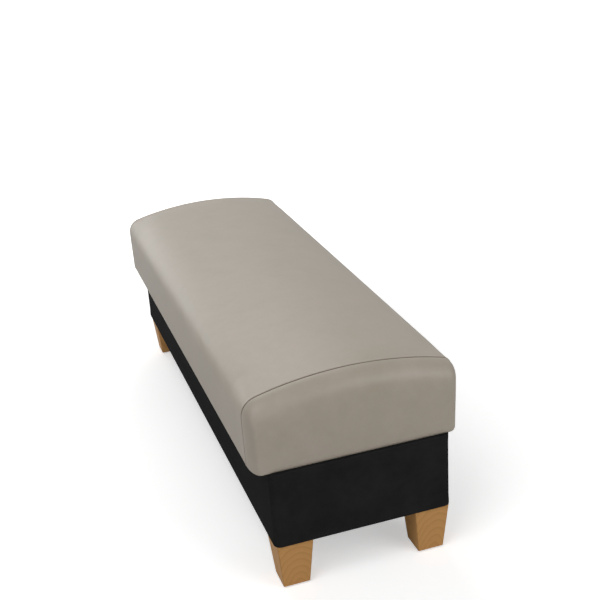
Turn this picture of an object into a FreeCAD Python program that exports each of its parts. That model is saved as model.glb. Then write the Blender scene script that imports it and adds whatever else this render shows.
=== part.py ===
# Restaurant bench: a crowned, domed-end seat cushion on an upholstered box base with
# four tapered legs. Millimetres, +Z up, +X along the length, -Y is the front long side.
# The origin lies on the floor under the middle of the bench.

import FreeCAD, Part
import math
import os

import Sketcher

V = FreeCAD.Vector

doc = FreeCAD.newDocument("restaurant_bench")
sheet = doc.addObject("Spreadsheet::Sheet", "Sizes")

# The driving dimensions, each written once
SIZES = (
    # Legs and floor glides
    ("glide_height", 4),  # floor to the underside of a leg
    ("glide_width", 26),  # diameter of a glide's pad
    ("glide_edge", 1.2),  # bevel round the pad's floor edge
    ("leg_height", 108),  # underside of a leg to underside of the base
    ("leg_top", 79),  # side of the leg where it meets the base
    ("leg_foot", 59),  # side of the leg at its underside
    ("leg_inset", 3),  # base's outer face to the leg's top edge
    ("leg_edge", 2.5),  # rounding of the leg's four long edges
    # Leg fixings
    ("bolt_width", 8),  # diameter of the hanger bolt
    ("bolt_in_leg", 42),  # depth of the bolt in the leg
    ("bolt_above_nut", 3),  # bolt standing above its nut
    ("nut_width", 13),  # across the nut's flats
    ("nut_height", 6.5),  # thickness of the nut
    ("bore_gap", 0.1),  # radial gap between a fixing and its bore
    ("bore_depth_gap", 1),  # spare depth at the blind end of a bore
    # Box base
    ("base_length", 1334),  # outside length of the covered base
    ("base_width", 393),  # outside width of the covered base
    ("base_height", 174),  # outside height of the covered base
    ("cover_thickness", 1.2),  # vinyl
    ("padding_thickness", 4),  # felt under the base's vinyl
    ("layer_gap", 0.3),  # gap between one upholstery layer and the next
    ("base_flap", 20),  # vinyl turned over the base's top and bottom edges
    ("rail_thickness", 18),  # plywood of the box frame
    ("rail_corner", 10),  # rounding of the frame's upright corners
    ("block_side", 60),  # side of a corner block in plan
    ("block_height", 36),  # height of a corner block
    ("brace_thickness", 18),  # plywood of a cross brace
    ("brace_depth", 110),  # height of a cross brace
    ("brace_spacing", 440),  # distance between the two cross braces' middles
    ("cleat_side", 25),  # square section of a cleat
    ("notch_gap", 1),  # gap round a cleat in a brace's notch
    ("dust_thickness", 0.8),  # cloth under the base
    ("dust_margin", 12),  # base's outer face to the edge of the cloth
    ("dust_leg_gap", 1.5),  # gap between the cloth and a leg
    # Screws that hold the seat
    ("screw_width", 4.5),  # shank diameter
    ("screw_head_width", 11),  # washer head diameter
    ("screw_head_height", 2.4),  # washer head thickness
    ("screw_length", 38),  # under the head, through a cleat into the seat board
    ("screw_margin", 70),  # end of a cleat to its last screw
    # Seat cushion
    ("seat_end_step", 6),  # base's end face to the cushion's, which stands back
    ("seat_overhang", 32),  # base's long face to the cushion's, which stands out
    ("seat_height", 182),  # base's top to the top of the crown
    ("crown_radius", 819),  # radius of the crown across the cushion
    ("shoulder_radius", 32.5),  # radius from the crown down to the long side
    ("end_radius", 42),  # radius of the domed ends, and seam to end face
    ("end_narrowing", 18),  # how far each side comes in between the seam and the end face
    ("end_corner_radius", 10),  # shoulder radius on the flat of the end face
    ("side_draw", 4),  # how far the long sides are drawn in at the bottom
    ("tuck_radius", 8),  # radius where the cover turns under the board
    ("end_flap", 50),  # cover turned under the seat board at the ends
    ("side_flap_gap", 5.8),  # rail's inner face to the edge of the cover's side flap
    ("seat_board_thickness", 18),  # plywood of the seat board
    ("wadding_thickness", 8),  # polyester wrap over the foam
    ("slab_thickness", 75),  # firm flat foam on the board
)
for row, (alias, millimetres) in enumerate(SIZES, start=1):
    sheet.set(f"A{row}", alias.replace("_", " "))
    sheet.set(f"B{row}", str(millimetres))
    sheet.setAlias(f"B{row}", alias)
doc.recompute()

SCREWS_PER_CLEAT = 3
COVER_DOME_STEPS = 6
INNER_DOME_STEPS = 3

# Places that several pieces share, as expressions on the sheet
BASE_X = "Sizes.base_length / 2"
BASE_Y = "Sizes.base_width / 2"
BASE_LOW = "(Sizes.glide_height + Sizes.leg_height)"
BASE_TOP = f"({BASE_LOW} + Sizes.base_height)"
SKIN = "(Sizes.cover_thickness + 2 * Sizes.layer_gap + Sizes.padding_thickness)"
FRAME_X = f"({BASE_X} - {SKIN})"
FRAME_Y = f"({BASE_Y} - {SKIN})"
INNER_X = f"({FRAME_X} - Sizes.rail_thickness)"
INNER_Y = f"({FRAME_Y} - Sizes.rail_thickness)"
RAIL_LOW = f"({BASE_LOW} + Sizes.cover_thickness)"
RAIL_TOP = f"({BASE_TOP} - Sizes.cover_thickness)"
BOARD_LOW = f"({BASE_TOP} + Sizes.cover_thickness)"
BOARD_TOP = f"({BOARD_LOW} + Sizes.seat_board_thickness)"
CLEAT_LOW = f"({BOARD_LOW} - Sizes.cleat_side)"
SEAT_X = f"({BASE_X} - Sizes.seat_end_step)"
SEAT_Y = f"({BASE_Y} + Sizes.seat_overhang)"
OPENING_X = f"({SEAT_X} - Sizes.end_flap)"
OPENING_Y = f"({INNER_Y} + Sizes.side_flap_gap)"
LEG_AXIS = "(Sizes.leg_inset + Sizes.leg_top / 2)"
LEG_X = f"({BASE_X} - {LEG_AXIS})"
LEG_Y = f"({BASE_Y} - {LEG_AXIS})"

# A corner's name, which way it lies along X and Y, and the turn that points
# the piece's own +X and +Y sides inwards there
CORNERS = (
    ("front_left", -1, -1, 0),
    ("front_right", 1, -1, 90),
    ("back_right", 1, 1, 180),
    ("back_left", -1, 1, 270),
)

# What is drawn at the front left corner is mirrored to the other three
TO_EACH_CORNER = ("YZ_Plane", "XZ_Plane")

pieces = []


def number(expression):
    """The value of an expression on the sheet."""
    return float(sheet.evalExpression(expression))


# Sketches: every helper takes its places as expressions, so the outline follows the sheet

def new_body(label):
    """A body for one sub-part, kept for the export."""
    body = doc.addObject("PartDesign::Body", label)
    body.Label = label
    pieces.append(body)
    return body


def origin_feature(body, role):
    return next(item for item in body.Origin.OriginFeatures if item.Role == role)


def new_sketch(body, name, plane, lift="0", right="0", up="0"):
    """A sketch on one of the body's origin planes, moved by expressions."""
    sketch = body.newObject("Sketcher::SketchObject", name)
    sketch.AttachmentSupport = (origin_feature(body, plane), "")
    sketch.MapMode = "FlatFace"
    sketch.setExpression("AttachmentOffset.Base.x", right)
    sketch.setExpression("AttachmentOffset.Base.y", up)
    sketch.setExpression("AttachmentOffset.Base.z", lift)
    return sketch


def constrain(sketch, expression, kind, *items):
    """Add a dimension and tie it to the sheet."""
    index = sketch.addConstraint(Sketcher.Constraint(kind, *items, number(expression)))
    sketch.setExpression(f"Constraints[{index}]", expression)


def place_point(sketch, geometry, point, x, y):
    """Fix a point of the sketch at x, y; a plain 0 puts it on the axis."""
    for kind, axis, place in (("DistanceX", -2, x), ("DistanceY", -1, y)):
        if place == "0":
            sketch.addConstraint(Sketcher.Constraint("PointOnObject", geometry, point, axis))
        else:
            constrain(sketch, place, kind, -1, 1, geometry, point)


def draw_outline(sketch, points):
    """A closed outline of straight lines through points given as expressions."""
    places = [V(number(x), number(y), 0) for x, y in points]
    count = len(places)
    start = len(sketch.Geometry)
    for index in range(count):
        line = Part.LineSegment(places[index], places[(index + 1) % count])
        sketch.addGeometry(line, False)
    for index in range(count):
        side, following = start + index, start + (index + 1) % count
        sketch.addConstraint(Sketcher.Constraint("Coincident", side, 2, following, 1))
    for index, (x, y) in enumerate(points, start=start):
        place_point(sketch, index, 1, x, y)


def draw_rectangle(sketch, x_low, x_high, y_low, y_high):
    draw_outline(sketch, [(x_low, y_low), (x_high, y_low), (x_high, y_high), (x_low, y_high)])


def draw_rounded_rectangle(sketch, half_x, half_y, radius):
    """A rectangle about the origin with four equal round corners."""
    x, y, r = number(half_x), number(half_y), number(radius)
    start = len(sketch.Geometry)
    sides = (
        (V(r - x, -y, 0), V(x - r, -y, 0)),
        (V(x, r - y, 0), V(x, y - r, 0)),
        (V(x - r, y, 0), V(r - x, y, 0)),
        (V(-x, y - r, 0), V(-x, r - y, 0)),
    )
    centres = (V(x - r, r - y, 0), V(x - r, y - r, 0), V(r - x, y - r, 0), V(r - x, r - y, 0))
    for side in sides:
        sketch.addGeometry(Part.LineSegment(*side), False)
    for quarter, centre in enumerate(centres):
        circle = Part.Circle(centre, V(0, 0, 1), r)
        begin = math.radians(90 * quarter - 90)
        sketch.addGeometry(Part.ArcOfCircle(circle, begin, begin + math.pi / 2), False)
    for index in range(4):
        side, corner, following = start + index, start + 4 + index, start + (index + 1) % 4
        sketch.addConstraint(Sketcher.Constraint("Tangent", side, 2, corner, 1))
        sketch.addConstraint(Sketcher.Constraint("Tangent", corner, 2, following, 1))
        level = "Horizontal" if index % 2 == 0 else "Vertical"
        sketch.addConstraint(Sketcher.Constraint(level, side))
        if index:
            sketch.addConstraint(Sketcher.Constraint("Equal", start + 4, corner))
    constrain(sketch, radius, "Radius", start + 4)
    constrain(sketch, half_x, "DistanceX", -1, 1, start + 1, 1)
    constrain(sketch, f"-({half_x})", "DistanceX", -1, 1, start + 3, 1)
    constrain(sketch, f"-({half_y})", "DistanceY", -1, 1, start, 1)
    constrain(sketch, half_y, "DistanceY", -1, 1, start + 2, 1)


def draw_circle(sketch, x, y, radius):
    circle = Part.Circle(V(number(x), number(y), 0), V(0, 0, 1), number(radius))
    index = sketch.addGeometry(circle, False)
    constrain(sketch, radius, "Radius", index)
    place_point(sketch, index, 3, x, y)


# Features

def pad(body, sketch, length, reverse=False):
    doc.recompute()
    feature = body.newObject("PartDesign::Pad", "Pad")
    feature.Profile = sketch
    feature.setExpression("Length", length)
    feature.Reversed = reverse
    doc.recompute()
    return feature


def pocket(body, sketch, length, reverse=False):
    """Cut the sketch away against its normal, or along it when reversed."""
    doc.recompute()
    before = body.Shape.Volume
    feature = body.newObject("PartDesign::Pocket", "Pocket")
    feature.Profile = sketch
    feature.setExpression("Length", length)
    feature.Reversed = reverse
    doc.recompute()
    if not 1 < before - feature.Shape.Volume < before:
        raise ValueError(f"{body.Label}: {feature.Name} cuts nothing")
    return feature


def revolve(body, sketch):
    """Turn the sketch once round its own upright axis."""
    doc.recompute()
    feature = body.newObject("PartDesign::Revolution", "Revolution")
    feature.Profile = sketch
    feature.ReferenceAxis = (sketch, ["V_Axis"])
    feature.Angle = 360
    doc.recompute()
    return feature


def picked(kind, items, chosen):
    """Names such as Edge3 of the items that the chosen test picks."""
    return [f"{kind}{place}" for place, item in enumerate(items, start=1) if chosen(item)]


def round_edges(body, base, chosen, radius):
    """Round the base's edges that the chosen test picks."""
    feature = body.newObject("PartDesign::Fillet", "Fillet")
    feature.Base = (base, picked("Edge", base.Shape.Edges, chosen))
    feature.setExpression("Radius", radius)
    doc.recompute()


def repeat(body, originals, steps):
    """Repeat features: a step is a mirror plane, or an axis, a length and a count."""
    feature = body.newObject("PartDesign::MultiTransform", "Repeat")
    feature.Originals = originals
    transforms = []
    for step in steps:
        if isinstance(step, str):
            mirror = body.newObject("PartDesign::Mirrored", "Mirror")
            mirror.MirrorPlane = (origin_feature(body, step), [""])
            transforms.append(mirror)
        else:
            axis, length, count = step
            row = body.newObject("PartDesign::LinearPattern", "Row")
            row.Direction = (origin_feature(body, axis), [""])
            row.setExpression("Length", length)
            row.Occurrences = count
            transforms.append(row)
    feature.Transformations = transforms
    body.Tip = feature
    doc.recompute()
    return feature


def stand_at(body, x, y, z, turn):
    """Place a body drawn about its own axis."""
    body.Placement.Rotation = FreeCAD.Rotation(V(0, 0, 1), turn)
    for axis, place in (("x", x), ("y", y), ("z", z)):
        body.setExpression(f"Placement.Base.{axis}", place)


def is_upright(edge):
    """True for an edge that runs up the piece, also where the piece tapers a little."""
    return edge.BoundBox.ZLength > 0.9 * edge.Length


def lies_at(item, height):
    """True for an edge or a face that lies wholly at one height."""
    box = item.BoundBox
    return max(abs(box.ZMin - height), abs(box.ZMax - height)) < 0.001


# Legs: square, of solid hardwood, tapered on all four sides, bored for the hanger bolt

def make_leg(corner, along, across, turn):
    body = new_body(f"leg_{corner}")
    stand_at(body, f"{along} * {LEG_X}", f"{across} * {LEG_Y}", "Sizes.glide_height", turn)

    head = new_sketch(body, "Head", "XY_Plane", lift="Sizes.leg_height")
    draw_rectangle(head, "-Sizes.leg_top / 2", "Sizes.leg_top / 2",
                   "-Sizes.leg_top / 2", "Sizes.leg_top / 2")
    blank = pad(body, head, "Sizes.leg_height", reverse=True)

    faces = blank.Shape.Faces
    top = blank.Shape.BoundBox.ZMax
    sides = picked("Face", faces, lambda face: not lies_at(face, 0) and not lies_at(face, top))
    taper = body.newObject("PartDesign::Draft", "Taper")
    taper.Base = (blank, sides)
    taper.NeutralPlane = (blank, picked("Face", faces, lambda face: lies_at(face, top)))
    taper.Reversed = True
    taper.setExpression("Angle", "atan((Sizes.leg_top - Sizes.leg_foot) / 2 / Sizes.leg_height)")
    doc.recompute()

    round_edges(body, taper, is_upright, "Sizes.leg_edge")

    bore = new_sketch(body, "BoltBore", "XY_Plane", lift="Sizes.leg_height")
    draw_circle(bore, "0", "0", "Sizes.bolt_width / 2 + Sizes.bore_gap")
    pocket(body, bore, "Sizes.bolt_in_leg + Sizes.bore_depth_gap")


# Floor glides: bevelled nylon pads under the legs

def make_glides():
    body = new_body("glides")
    profile = new_sketch(body, "Profile", "XZ_Plane", lift=LEG_Y, right=f"-{LEG_X}")
    radius = "Sizes.glide_width / 2"
    draw_outline(profile, [
        ("0", "0"),
        (f"{radius} - Sizes.glide_edge", "0"),
        (radius, "Sizes.glide_edge"),
        (radius, "Sizes.glide_height"),
        ("0", "Sizes.glide_height"),
    ])
    repeat(body, [revolve(body, profile)], TO_EACH_CORNER)


# Corner blocks: hardwood, glued into the frame's corners. They stand below the rails by
# the thickness of the vinyl, so the legs bear on wood.

def make_corner_block(corner, along, across, turn):
    body = new_body(f"corner_block_{corner}")
    stand_at(body, f"{along} * {LEG_X}", f"{across} * {LEG_Y}", BASE_LOW, turn)
    outer = f"({SKIN} + Sizes.rail_thickness - {LEG_AXIS})"
    inner = f"({outer} + Sizes.block_side)"
    plan = new_sketch(body, "Plan", "XY_Plane")
    draw_rectangle(plan, outer, inner, outer, inner)
    draw_circle(plan, "0", "0", "Sizes.bolt_width / 2 + Sizes.bore_gap")
    pad(body, plan, "Sizes.block_height")


# Leg fixings: a hanger bolt up the axis of each leg, and the nut that holds it down on
# the corner block

def make_leg_bolts():
    body = new_body("leg_bolts")
    section = new_sketch(body, "Section", "XY_Plane", lift=f"{BASE_LOW} - Sizes.bolt_in_leg")
    draw_circle(section, f"-{LEG_X}", f"-{LEG_Y}", "Sizes.bolt_width / 2")
    length = "Sizes.bolt_in_leg + Sizes.block_height + Sizes.nut_height + Sizes.bolt_above_nut"
    repeat(body, [pad(body, section, length)], TO_EACH_CORNER)


def make_leg_nuts():
    body = new_body("leg_nuts")
    plan = new_sketch(body, "Plan", "XY_Plane", lift=f"{BASE_LOW} + Sizes.block_height")
    corner = "Sizes.nut_width / sqrt(3)"
    draw_outline(plan, [
        (f"{corner} * cos({60 * side} deg) - {LEG_X}", f"{corner} * sin({60 * side} deg) - {LEG_Y}")
        for side in range(6)
    ])
    draw_circle(plan, f"-{LEG_X}", f"-{LEG_Y}", "Sizes.bolt_width / 2 + Sizes.bore_gap")
    repeat(body, [pad(body, plan, "Sizes.nut_height")], TO_EACH_CORNER)


# Box frame: plywood, glued. The long rails run the full length, the end rails butt
# between them, and two braces tie the long rails together.

def make_long_rail(label, turn):
    body = new_body(label)
    body.Placement.Rotation = FreeCAD.Rotation(V(0, 0, 1), turn)
    plan = new_sketch(body, "Plan", "XY_Plane", lift=RAIL_LOW)
    draw_rectangle(plan, f"-{FRAME_X}", FRAME_X, f"-{FRAME_Y}", f"-{INNER_Y}")
    rail = pad(body, plan, f"{RAIL_TOP} - {RAIL_LOW}")
    outer_face = rail.Shape.BoundBox.YMin
    round_edges(body, rail,
                lambda edge: is_upright(edge) and edge.BoundBox.YMin - outer_face < 0.001,
                "Sizes.rail_corner")


def make_end_rail(label, turn):
    body = new_body(label)
    body.Placement.Rotation = FreeCAD.Rotation(V(0, 0, 1), turn)
    plan = new_sketch(body, "Plan", "XY_Plane", lift=RAIL_LOW)
    draw_rectangle(plan, INNER_X, FRAME_X, f"-{INNER_Y}", INNER_Y)
    pad(body, plan, f"{RAIL_TOP} - {RAIL_LOW}")


def make_brace(label, turn):
    """A cross brace, notched at its upper corners round the cleats."""
    body = new_body(label)
    body.Placement.Rotation = FreeCAD.Rotation(V(0, 0, 1), turn)
    low = f"({BOARD_LOW} - Sizes.brace_depth)"
    notch_y = f"({INNER_Y} - Sizes.cleat_side - Sizes.notch_gap)"
    notch_z = f"({CLEAT_LOW} - Sizes.notch_gap)"
    face = new_sketch(body, "Face", "YZ_Plane",
                      lift="(Sizes.brace_spacing - Sizes.brace_thickness) / 2")
    draw_outline(face, [
        (f"-{INNER_Y}", low), (INNER_Y, low),
        (INNER_Y, notch_z), (notch_y, notch_z),
        (notch_y, BOARD_LOW), (f"-{notch_y}", BOARD_LOW),
        (f"-{notch_y}", notch_z), (f"-{INNER_Y}", notch_z),
    ])
    pad(body, face, "Sizes.brace_thickness")


# Cleats: strips glued inside the long rails. The seat is screwed down through them. They
# stop short of the vinyl that is turned under the seat's ends, and stand above the rails
# by two thicknesses of vinyl, so the seat board bears on them.

CLEAT_X = f"({OPENING_X} - Sizes.notch_gap)"
CLEAT_MIDDLE = f"({INNER_Y} - Sizes.cleat_side / 2)"
SCREW_X = f"({CLEAT_X} - Sizes.screw_margin)"
SCREW_BORE = "Sizes.screw_width / 2 + Sizes.bore_gap"
SCREW_ROW = ("X_Axis", f"2 * {SCREW_X}", SCREWS_PER_CLEAT)


def make_cleat(label, turn):
    body = new_body(label)
    body.Placement.Rotation = FreeCAD.Rotation(V(0, 0, 1), turn)
    plan = new_sketch(body, "Plan", "XY_Plane", lift=CLEAT_LOW)
    draw_rectangle(plan, f"-{CLEAT_X}", CLEAT_X, f"-{INNER_Y}",
                   f"-({INNER_Y} - Sizes.cleat_side)")
    pad(body, plan, "Sizes.cleat_side")
    hole = new_sketch(body, "Hole", "XY_Plane", lift=CLEAT_LOW)
    draw_circle(hole, f"-{SCREW_X}", f"-{CLEAT_MIDDLE}", SCREW_BORE)
    repeat(body, [pocket(body, hole, "Sizes.cleat_side", reverse=True)], [SCREW_ROW])


def make_seat_screws():
    """Washer-headed screws, driven up through the cleats into the seat board."""
    body = new_body("seat_screws")
    profile = new_sketch(body, "Profile", "XZ_Plane", lift=CLEAT_MIDDLE,
                         right=f"-{SCREW_X}", up=CLEAT_LOW)
    draw_outline(profile, [
        ("0", "-Sizes.screw_head_height"),
        ("Sizes.screw_head_width / 2", "-Sizes.screw_head_height"),
        ("Sizes.screw_head_width / 2", "0"),
        ("Sizes.screw_width / 2", "0"),
        ("Sizes.screw_width / 2", "Sizes.screw_length"),
        ("0", "Sizes.screw_length"),
    ])
    repeat(body, [revolve(body, profile)], [SCREW_ROW, "XZ_Plane"])


# Base upholstery: felt round the frame, then one strip of vinyl turned over both edges

BASE_CORNER = f"(Sizes.rail_corner + {SKIN})"


def make_base_padding():
    body = new_body("base_padding")
    outer = "(Sizes.cover_thickness + Sizes.layer_gap)"
    plan = new_sketch(body, "Plan", "XY_Plane", lift=RAIL_LOW)
    for inset in (outer, f"({outer} + Sizes.padding_thickness)"):
        draw_rounded_rectangle(plan, f"{BASE_X} - {inset}", f"{BASE_Y} - {inset}",
                               f"{BASE_CORNER} - {inset}")
    pad(body, plan, f"{RAIL_TOP} - {RAIL_LOW}")


def make_base_cover():
    body = new_body("base_cover")
    outside = new_sketch(body, "Outside", "XY_Plane", lift=BASE_LOW)
    draw_rounded_rectangle(outside, BASE_X, BASE_Y, BASE_CORNER)
    pad(body, outside, "Sizes.base_height")

    inside = new_sketch(body, "Inside", "XY_Plane", lift=RAIL_LOW)
    draw_rounded_rectangle(inside, f"{BASE_X} - Sizes.cover_thickness",
                           f"{BASE_Y} - Sizes.cover_thickness",
                           f"{BASE_CORNER} - Sizes.cover_thickness")
    pocket(body, inside, f"{RAIL_TOP} - {RAIL_LOW}", reverse=True)

    flap_x = f"({BASE_X} - Sizes.base_flap)"
    flap_y = f"({BASE_Y} - Sizes.base_flap)"
    opening = new_sketch(body, "Opening", "XY_Plane", lift=BASE_LOW)
    draw_rectangle(opening, f"-{flap_x}", flap_x, f"-{flap_y}", flap_y)
    pocket(body, opening, "Sizes.base_height", reverse=True)


def make_dust_cover():
    """Cloth under the base, cut back round the four legs."""
    body = new_body("dust_cover")
    far_x = f"({BASE_X} - Sizes.dust_margin)"
    far_y = f"({BASE_Y} - Sizes.dust_margin)"
    leg_zone = "(Sizes.leg_inset + Sizes.leg_top + Sizes.dust_leg_gap)"
    near_x = f"({BASE_X} - {leg_zone})"
    near_y = f"({BASE_Y} - {leg_zone})"
    cloth = new_sketch(body, "Cloth", "XY_Plane", lift=f"{BASE_LOW} - Sizes.dust_thickness")
    draw_outline(cloth, [
        (f"-{near_x}", f"-{far_y}"), (near_x, f"-{far_y}"),
        (near_x, f"-{near_y}"), (far_x, f"-{near_y}"),
        (far_x, near_y), (near_x, near_y),
        (near_x, far_y), (f"-{near_x}", far_y),
        (f"-{near_x}", near_y), (f"-{far_x}", near_y),
        (f"-{far_x}", f"-{near_y}"), (f"-{near_x}", f"-{near_y}"),
    ])
    pad(body, cloth, "Sizes.dust_thickness")


# Seat board: plywood with round corners, bored from below for the seat's screws. The
# corners are as round as the cushion's own, which keeps them clear of the inner layers.

LAYERS = "(Sizes.cover_thickness + 2 * Sizes.layer_gap + Sizes.wadding_thickness)"


def make_seat_board():
    body = new_body("seat_board")
    plan = new_sketch(body, "Plan", "XY_Plane", lift=BOARD_LOW)
    draw_rounded_rectangle(plan, f"{SEAT_X} - {LAYERS}",
                           f"{SEAT_Y} - Sizes.side_draw - {LAYERS}", "Sizes.end_radius")
    pad(body, plan, "Sizes.seat_board_thickness")
    bore = new_sketch(body, "Bore", "XY_Plane", lift=BOARD_LOW)
    draw_circle(bore, f"-{SCREW_X}", f"-{CLEAT_MIDDLE}", SCREW_BORE)
    depth = "Sizes.screw_length - Sizes.cleat_side + Sizes.bore_depth_gap"
    repeat(body, [pocket(body, bore, depth, reverse=True)], [SCREW_ROW, "XZ_Plane"])


# Seat upholstery. Every layer is the same crowned, domed-end form, drawn at its own inset
# from the cushion's outer face. Across the cushion the form is one crown arc, two
# shoulders, two sides drawn in towards the bottom and two tucks. It runs straight between
# the seams, and past each seam it closes in along a quarter circle to the flat end face.

def form_section(x, inset, fall, share, bottom):
    """The form's outline across the cushion at x, lowered by fall on its way to the end.

    share is how far along the way to the end face the section lies, from 0 to 1. A layer
    that lies deeper than the tuck's radius has square lower corners.
    """
    half = number(SEAT_Y) - inset - share * (sheet.end_narrowing - inset)
    peak = number(f"{BASE_TOP} + Sizes.seat_height") - inset - fall
    crown = sheet.crown_radius - inset - fall
    shoulder_end = sheet.shoulder_radius + share * (sheet.end_corner_radius - sheet.shoulder_radius)
    shoulder = shoulder_end * (1 - inset / sheet.shoulder_radius)
    tuck = max(sheet.tuck_radius - inset, 0)
    drawn = half - sheet.side_draw

    crown_centre = peak - crown
    reach = crown - shoulder
    shoulder_z = crown_centre + math.sqrt(reach ** 2 - (half - shoulder) ** 2)
    lean = math.atan2(shoulder_z - crown_centre, half - shoulder)
    top_y, top_z = crown * math.cos(lean), crown_centre + crown * math.sin(lean)
    middle = lean / 2
    side_height = shoulder_z - bottom - tuck
    side = (side_height ** 2 + sheet.side_draw ** 2) / (2 * sheet.side_draw)
    sweep = math.asin(side_height / side) / 2
    diagonal = math.sqrt(0.5)

    under = [
        (drawn - tuck, bottom),
        (drawn - tuck + tuck * diagonal, bottom + tuck - tuck * diagonal),
    ]
    right = [
        (drawn, bottom + tuck),
        (half - side + side * math.cos(sweep), shoulder_z - side * math.sin(sweep)),
        (half, shoulder_z),
        (half - shoulder + shoulder * math.cos(middle), shoulder_z + shoulder * math.sin(middle)),
        (top_y, top_z),
    ]
    if tuck:
        right = under + right
    left = [(-y, z) for y, z in reversed(right)]
    points = [V(x, y, z) for y, z in right + [(0, peak)] + left]
    starts = range(0, len(points) - 1, 2)
    arcs = [Part.Arc(*points[start:start + 3]).toShape() for start in starts]
    return Part.Wire(arcs + [Part.LineSegment(points[-1], points[0]).toShape()])


def form_middle(inset, bottom):
    """The straight run of the form between the two seams."""
    seam = number(f"{SEAT_X} - Sizes.end_radius")
    section = form_section(-seam, inset, 0, 0, bottom)
    return Part.Face(section).extrude(V(2 * seam, 0, 0))


def form_dome(inset, bottom, side, steps):
    """The form's closed end past one seam; side is 1 for the right end, -1 for the left."""
    seam = number(f"{SEAT_X} - Sizes.end_radius")
    radius = sheet.end_radius - inset
    sections = []
    for step in range(steps + 1):
        angle = math.pi / 2 * step / steps
        share = 1 - math.cos(angle)
        place = side * (seam + radius * math.sin(angle))
        sections.append(form_section(place, inset, radius * share, share, bottom))
    return Part.makeLoft(sections, True, True)


def form_whole(inset, bottom):
    """The whole form of a hidden layer in one solid."""
    ends = [form_dome(inset, bottom, side, INNER_DOME_STEPS) for side in (1, -1)]
    return form_middle(inset, bottom).fuse(ends).removeSplitter()


def box_about_middle(half_x, half_y, low, high):
    """A box about the bench's middle between two heights."""
    return Part.makeBox(2 * half_x, 2 * half_y, high - low, V(-half_x, -half_y, low))


def add_layer(label, shape):
    """A sub-part whose shape is one of the upholstery layers."""
    piece = doc.addObject("Part::Feature", label)
    piece.Label = label
    piece.Shape = shape.Solids[0] if len(shape.Solids) == 1 else shape
    pieces.append(piece)


def make_seat_covers():
    """The top panel between the seams, and the domed panel beyond each of them."""
    outer_bottom = number(BASE_TOP)
    inner_bottom = number(BOARD_LOW)
    inset = sheet.cover_thickness
    opening = box_about_middle(number(OPENING_X), number(OPENING_Y),
                               outer_bottom - inset, inner_bottom + inset)
    top = form_middle(0, outer_bottom).cut(form_middle(inset, inner_bottom)).cut(opening)
    add_layer("seat_top_cover", top)
    for name, side in (("right", 1), ("left", -1)):
        outer = form_dome(0, outer_bottom, side, COVER_DOME_STEPS)
        inner = form_dome(inset, inner_bottom, side, INNER_DOME_STEPS)
        add_layer(f"seat_end_cover_{name}", outer.cut(inner).cut(opening))


def make_seat_wadding():
    """The wrap over the foam and round the board, open below where the board fills it."""
    outer = sheet.cover_thickness + sheet.layer_gap
    inner = outer + sheet.wadding_thickness
    low = number(BOARD_LOW)
    below = box_about_middle(number(SEAT_X) - inner - sheet.end_radius,
                             number(SEAT_Y) - inner - sheet.end_radius,
                             low - sheet.cover_thickness, low + sheet.cover_thickness)
    core = form_whole(inner, low).fuse(below)
    add_layer("seat_wadding", form_whole(outer, low).cut(core))


def make_seat_foam():
    """A firm slab on the board, and the shaped crown glued on it."""
    low = number(BOARD_TOP)
    joint = low + sheet.slab_thickness
    high = number(f"{BASE_TOP} + Sizes.seat_height")
    foam = form_whole(number(LAYERS), number(BOARD_LOW))
    for label, bottom, top in (("slab", low, joint), ("crown", joint, high)):
        layer = box_about_middle(number(SEAT_X), number(SEAT_Y), bottom, top)
        add_layer(f"seat_foam_{label}", foam.common(layer))


for corner in CORNERS:
    make_leg(*corner)
    make_corner_block(*corner)
make_glides()
make_leg_bolts()
make_leg_nuts()
for label, turn in (("base_rail_front", 0), ("base_rail_back", 180)):
    make_long_rail(label, turn)
for label, turn in (("base_rail_right", 0), ("base_rail_left", 180)):
    make_end_rail(label, turn)
for label, turn in (("cross_brace_right", 0), ("cross_brace_left", 180)):
    make_brace(label, turn)
for label, turn in (("cleat_front", 0), ("cleat_back", 180)):
    make_cleat(label, turn)
make_seat_screws()
make_base_padding()
make_base_cover()
make_dust_cover()
make_seat_board()
make_seat_covers()
make_seat_wadding()
make_seat_foam()

doc.recompute()
for item in doc.Objects:
    if "Invalid" in item.State or "Error" in item.State:
        raise ValueError(f"{item.Label} failed: {item.State}")
for piece in pieces:
    if piece.Shape.isNull() or not piece.Shape.isValid() or not piece.Shape.Solids:
        raise ValueError(f"{piece.Label} has no valid solid")

os.makedirs("parts", exist_ok=True)
for piece in pieces:
    piece.Shape.exportStep(f"parts/{piece.Label}.step")
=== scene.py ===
import math

import bmesh
import bpy
from mathutils import Matrix, Vector
from mathutils.kdtree import KDTree


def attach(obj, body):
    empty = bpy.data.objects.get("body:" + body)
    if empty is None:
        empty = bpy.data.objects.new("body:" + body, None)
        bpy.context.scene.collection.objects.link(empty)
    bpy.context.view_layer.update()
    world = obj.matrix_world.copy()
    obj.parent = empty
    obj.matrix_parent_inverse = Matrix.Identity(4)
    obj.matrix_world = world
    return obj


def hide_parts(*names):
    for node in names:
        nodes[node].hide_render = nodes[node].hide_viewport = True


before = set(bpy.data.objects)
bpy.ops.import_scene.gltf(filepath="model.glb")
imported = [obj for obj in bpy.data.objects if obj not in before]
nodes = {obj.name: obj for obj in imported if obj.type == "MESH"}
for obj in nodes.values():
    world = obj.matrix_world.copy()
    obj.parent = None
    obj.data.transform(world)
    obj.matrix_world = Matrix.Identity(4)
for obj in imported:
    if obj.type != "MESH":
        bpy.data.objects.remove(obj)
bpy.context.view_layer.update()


# Legs. Four short square legs of solid beech, tapered on all four faces and finished with a clear
# satin lacquer. Each is sawn from its own stick, so the year rings sit differently in every leg.
# The corners are rounded by hand, and a painted shade darkens the colour along them.
LEG_AXIS_X = 0.6245
LEG_AXIS_Y = 0.154
RING_SCALE = 33.0
LEG_WAVINESS = 0.010


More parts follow.
